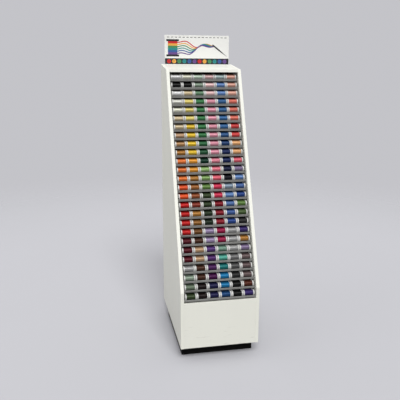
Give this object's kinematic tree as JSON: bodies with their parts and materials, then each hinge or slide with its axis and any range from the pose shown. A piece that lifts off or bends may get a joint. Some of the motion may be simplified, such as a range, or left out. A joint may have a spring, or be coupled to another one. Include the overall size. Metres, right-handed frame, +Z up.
{
  "type": "thread spool rack",
  "caption": "Floor-standing white cabinet with a leaning front of sloped, pull-out trays that feed spools of thread to their lips, on a recessed black plinth with a header sign.",
  "frame": {"origin": "on the floor, under the middle of the cabinet's width and depth", "axes": "+X to the viewer's right, +Y to the back, +Z up"},
  "size_m": [0.3774, 0.61, 1.518],
  "materials": {
    "cabinet_white": "white melamine, satin",
    "back_white": "white-faced hardboard",
    "plinth_black": "black laminate, matt",
    "runner_metal": "drawn, matt",
    "sign_board": "printed board",
    "tray_grey": "grey powder coat",
    "thread_spools": "white moulded spools, each with a satin winding of thread"
  },
  "bodies": {
    "cabinet": {"left_side_panel": "cabinet_white", "right_side_panel": "cabinet_white", "back_panel": "back_white", "top_panel": "cabinet_white", "lower_front_panel": "cabinet_white", "base_plinth": "plinth_black", "tray_runners": "runner_metal"},
    "sign": {"header_sign": "sign_board"},
    "tray_01": {"tray_01": "tray_grey"},
    "spools_01": {"spools_01": "thread_spools"},
    "tray_02": {"tray_02": "tray_grey"},
    "spools_02": {"spools_02": "thread_spools"},
    "tray_03": {"tray_03": "tray_grey"},
    "spools_03": {"spools_03": "thread_spools"},
    "tray_04": {"tray_04": "tray_grey"},
    "spools_04": {"spools_04": "thread_spools"},
    "tray_05": {"tray_05": "tray_grey"},
    "spools_05": {"spools_05": "thread_spools"},
    "tray_06": {"tray_06": "tray_grey"},
    "spools_06": {"spools_06": "thread_spools"},
    "tray_07": {"tray_07": "tray_grey"},
    "spools_07": {"spools_07": "thread_spools"},
    "tray_08": {"tray_08": "tray_grey"},
    "spools_08": {"spools_08": "thread_spools"},
    "tray_09": {"tray_09": "tray_grey"},
    "spools_09": {"spools_09": "thread_spools"},
    "tray_10": {"tray_10": "tray_grey"},
    "spools_10": {"spools_10": "thread_spools"},
    "tray_11": {"tray_11": "tray_grey"},
    "spools_11": {"spools_11": "thread_spools"},
    "tray_12": {"tray_12": "tray_grey"},
    "spools_12": {"spools_12": "thread_spools"},
    "tray_13": {"tray_13": "tray_grey"},
    "spools_13": {"spools_13": "thread_spools"},
    "tray_14": {"tray_14": "tray_grey"},
    "spools_14": {"spools_14": "thread_spools"},
    "tray_15": {"tray_15": "tray_grey"},
    "spools_15": {"spools_15": "thread_spools"},
    "tray_16": {"tray_16": "tray_grey"},
    "spools_16": {"spools_16": "thread_spools"},
    "tray_17": {"tray_17": "tray_grey"},
    "spools_17": {"spools_17": "thread_spools"},
    "tray_18": {"tray_18": "tray_grey"},
    "spools_18": {"spools_18": "thread_spools"},
    "tray_19": {"tray_19": "tray_grey"},
    "spools_19": {"spools_19": "thread_spools"},
    "tray_20": {"tray_20": "tray_grey"},
    "spools_20": {"spools_20": "thread_spools"},
    "tray_21": {"tray_21": "tray_grey"},
    "spools_21": {"spools_21": "thread_spools"},
    "tray_22": {"tray_22": "tray_grey"},
    "spools_22": {"spools_22": "thread_spools"},
    "tray_23": {"tray_23": "tray_grey"},
    "spools_23": {"spools_23": "thread_spools"},
    "tray_24": {"tray_24": "tray_grey"},
    "spools_24": {"spools_24": "thread_spools"},
    "tray_25": {"tray_25": "tray_grey"},
    "spools_25": {"spools_25": "thread_spools"},
    "tray_26": {"tray_26": "tray_grey"},
    "spools_26": {"spools_26": "thread_spools"}
  },
  "joints": [
    {"name": "sign_lift", "type": "slide", "parent": "cabinet", "child": "sign", "axis": [0, 0, 1], "range_m": [0, 0.03]},
    {"name": "tray_01_pull", "type": "slide", "parent": "cabinet", "child": "tray_01", "axis": [0, -0.9903, -0.1392], "range_m": [0, 0.1]},
    {"name": "spools_01_feed", "type": "slide", "parent": "tray_01", "child": "spools_01", "axis": [0, 0.9903, 0.1392], "range_m": [0, 0.0865]},
    {"name": "tray_02_pull", "type": "slide", "parent": "cabinet", "child": "tray_02", "axis": [0, -0.9903, -0.1392], "range_m": [0, 0.1]},
    {"name": "spools_02_feed", "type": "slide", "parent": "tray_02", "child": "spools_02", "axis": [0, 0.9903, 0.1392], "range_m": [0, 0.0865]},
    {"name": "tray_03_pull", "type": "slide", "parent": "cabinet", "child": "tray_03", "axis": [0, -0.9903, -0.1392], "range_m": [0, 0.1]},
    {"name": "spools_03_feed", "type": "slide", "parent": "tray_03", "child": "spools_03", "axis": [0, 0.9903, 0.1392], "range_m": [0, 0.0865]},
    {"name": "tray_04_pull", "type": "slide", "parent": "cabinet", "child": "tray_04", "axis": [0, -0.9903, -0.1392], "range_m": [0, 0.1]},
    {"name": "spools_04_feed", "type": "slide", "parent": "tray_04", "child": "spools_04", "axis": [0, 0.9903, 0.1392], "range_m": [0, 0.0865]},
    {"name": "tray_05_pull", "type": "slide", "parent": "cabinet", "child": "tray_05", "axis": [0, -0.9903, -0.1392], "range_m": [0, 0.1]},
    {"name": "spools_05_feed", "type": "slide", "parent": "tray_05", "child": "spools_05", "axis": [0, 0.9903, 0.1392], "range_m": [0, 0.0865]},
    {"name": "tray_06_pull", "type": "slide", "parent": "cabinet", "child": "tray_06", "axis": [0, -0.9903, -0.1392], "range_m": [0, 0.1]},
    {"name": "spools_06_feed", "type": "slide", "parent": "tray_06", "child": "spools_06", "axis": [0, 0.9903, 0.1392], "range_m": [0, 0.0865]},
    {"name": "tray_07_pull", "type": "slide", "parent": "cabinet", "child": "tray_07", "axis": [0, -0.9903, -0.1392], "range_m": [0, 0.1]},
    {"name": "spools_07_feed", "type": "slide", "parent": "tray_07", "child": "spools_07", "axis": [0, 0.9903, 0.1392], "range_m": [0, 0.0865]},
    {"name": "tray_08_pull", "type": "slide", "parent": "cabinet", "child": "tray_08", "axis": [0, -0.9903, -0.1392], "range_m": [0, 0.1]},
    {"name": "spools_08_feed", "type": "slide", "parent": "tray_08", "child": "spools_08", "axis": [0, 0.9903, 0.1392], "range_m": [0, 0.0865]},
    {"name": "tray_09_pull", "type": "slide", "parent": "cabinet", "child": "tray_09", "axis": [0, -0.9903, -0.1392], "range_m": [0, 0.1]},
    {"name": "spools_09_feed", "type": "slide", "parent": "tray_09", "child": "spools_09", "axis": [0, 0.9903, 0.1392], "range_m": [0, 0.0865]},
    {"name": "tray_10_pull", "type": "slide", "parent": "cabinet", "child": "tray_10", "axis": [0, -0.9903, -0.1392], "range_m": [0, 0.1]},
    {"name": "spools_10_feed", "type": "slide", "parent": "tray_10", "child": "spools_10", "axis": [0, 0.9903, 0.1392], "range_m": [0, 0.0865]},
    {"name": "tray_11_pull", "type": "slide", "parent": "cabinet", "child": "tray_11", "axis": [0, -0.9903, -0.1392], "range_m": [0, 0.1]},
    {"name": "spools_11_feed", "type": "slide", "parent": "tray_11", "child": "spools_11", "axis": [0, 0.9903, 0.1392], "range_m": [0, 0.0865]},
    {"name": "tray_12_pull", "type": "slide", "parent": "cabinet", "child": "tray_12", "axis": [0, -0.9903, -0.1392], "range_m": [0, 0.1]},
    {"name": "spools_12_feed", "type": "slide", "parent": "tray_12", "child": "spools_12", "axis": [0, 0.9903, 0.1392], "range_m": [0, 0.0865]},
    {"name": "tray_13_pull", "type": "slide", "parent": "cabinet", "child": "tray_13", "axis": [0, -0.9903, -0.1392], "range_m": [0, 0.1]},
    {"name": "spools_13_feed", "type": "slide", "parent": "tray_13", "child": "spools_13", "axis": [0, 0.9903, 0.1392], "range_m": [0, 0.0865]},
    {"name": "tray_14_pull", "type": "slide", "parent": "cabinet", "child": "tray_14", "axis": [0, -0.9903, -0.1392], "range_m": [0, 0.1]},
    {"name": "spools_14_feed", "type": "slide", "parent": "tray_14", "child": "spools_14", "axis": [0, 0.9903, 0.1392], "range_m": [0, 0.0865]},
    {"name": "tray_15_pull", "type": "slide", "parent": "cabinet", "child": "tray_15", "axis": [0, -0.9903, -0.1392], "range_m": [0, 0.1]},
    {"name": "spools_15_feed", "type": "slide", "parent": "tray_15", "child": "spools_15", "axis": [0, 0.9903, 0.1392], "range_m": [0, 0.0865]},
    {"name": "tray_16_pull", "type": "slide", "parent": "cabinet", "child": "tray_16", "axis": [0, -0.9903, -0.1392], "range_m": [0, 0.1]},
    {"name": "spools_16_feed", "type": "slide", "parent": "tray_16", "child": "spools_16", "axis": [0, 0.9903, 0.1392], "range_m": [0, 0.0865]},
    {"name": "tray_17_pull", "type": "slide", "parent": "cabinet", "child": "tray_17", "axis": [0, -0.9903, -0.1392], "range_m": [0, 0.1]},
    {"name": "spools_17_feed", "type": "slide", "parent": "tray_17", "child": "spools_17", "axis": [0, 0.9903, 0.1392], "range_m": [0, 0.0865]},
    {"name": "tray_18_pull", "type": "slide", "parent": "cabinet", "child": "tray_18", "axis": [0, -0.9903, -0.1392], "range_m": [0, 0.1]},
    {"name": "spools_18_feed", "type": "slide", "parent": "tray_18", "child": "spools_18", "axis": [0, 0.9903, 0.1392], "range_m": [0, 0.0865]},
    {"name": "tray_19_pull", "type": "slide", "parent": "cabinet", "child": "tray_19", "axis": [0, -0.9903, -0.1392], "range_m": [0, 0.1]},
    {"name": "spools_19_feed", "type": "slide", "parent": "tray_19", "child": "spools_19", "axis": [0, 0.9903, 0.1392], "range_m": [0, 0.0865]},
    {"name": "tray_20_pull", "type": "slide", "parent": "cabinet", "child": "tray_20", "axis": [0, -0.9903, -0.1392], "range_m": [0, 0.1]},
    {"name": "spools_20_feed", "type": "slide", "parent": "tray_20", "child": "spools_20", "axis": [0, 0.9903, 0.1392], "range_m": [0, 0.0865]},
    {"name": "tray_21_pull", "type": "slide", "parent": "cabinet", "child": "tray_21", "axis": [0, -0.9903, -0.1392], "range_m": [0, 0.1]},
    {"name": "spools_21_feed", "type": "slide", "parent": "tray_21", "child": "spools_21", "axis": [0, 0.9903, 0.1392], "range_m": [0, 0.0865]},
    {"name": "tray_22_pull", "type": "slide", "parent": "cabinet", "child": "tray_22", "axis": [0, -0.9903, -0.1392], "range_m": [0, 0.1]},
    {"name": "spools_22_feed", "type": "slide", "parent": "tray_22", "child": "spools_22", "axis": [0, 0.9903, 0.1392], "range_m": [0, 0.0865]},
    {"name": "tray_23_pull", "type": "slide", "parent": "cabinet", "child": "tray_23", "axis": [0, -0.9903, -0.1392], "range_m": [0, 0.1]},
    {"name": "spools_23_feed", "type": "slide", "parent": "tray_23", "child": "spools_23", "axis": [0, 0.9903, 0.1392], "range_m": [0, 0.0865]},
    {"name": "tray_24_pull", "type": "slide", "parent": "cabinet", "child": "tray_24", "axis": [0, -0.9903, -0.1392], "range_m": [0, 0.1]},
    {"name": "spools_24_feed", "type": "slide", "parent": "tray_24", "child": "spools_24", "axis": [0, 0.9903, 0.1392], "range_m": [0, 0.0865]},
    {"name": "tray_25_pull", "type": "slide", "parent": "cabinet", "child": "tray_25", "axis": [0, -0.9903, -0.1392], "range_m": [0, 0.1]},
    {"name": "spools_25_feed", "type": "slide", "parent": "tray_25", "child": "spools_25", "axis": [0, 0.9903, 0.1392], "range_m": [0, 0.0865]},
    {"name": "tray_26_pull", "type": "slide", "parent": "cabinet", "child": "tray_26", "axis": [0, -0.9903, -0.1392], "range_m": [0, 0.1]},
    {"name": "spools_26_feed", "type": "slide", "parent": "tray_26", "child": "spools_26", "axis": [0, 0.9903, 0.1392], "range_m": [0, 0.0865]}
  ]
}
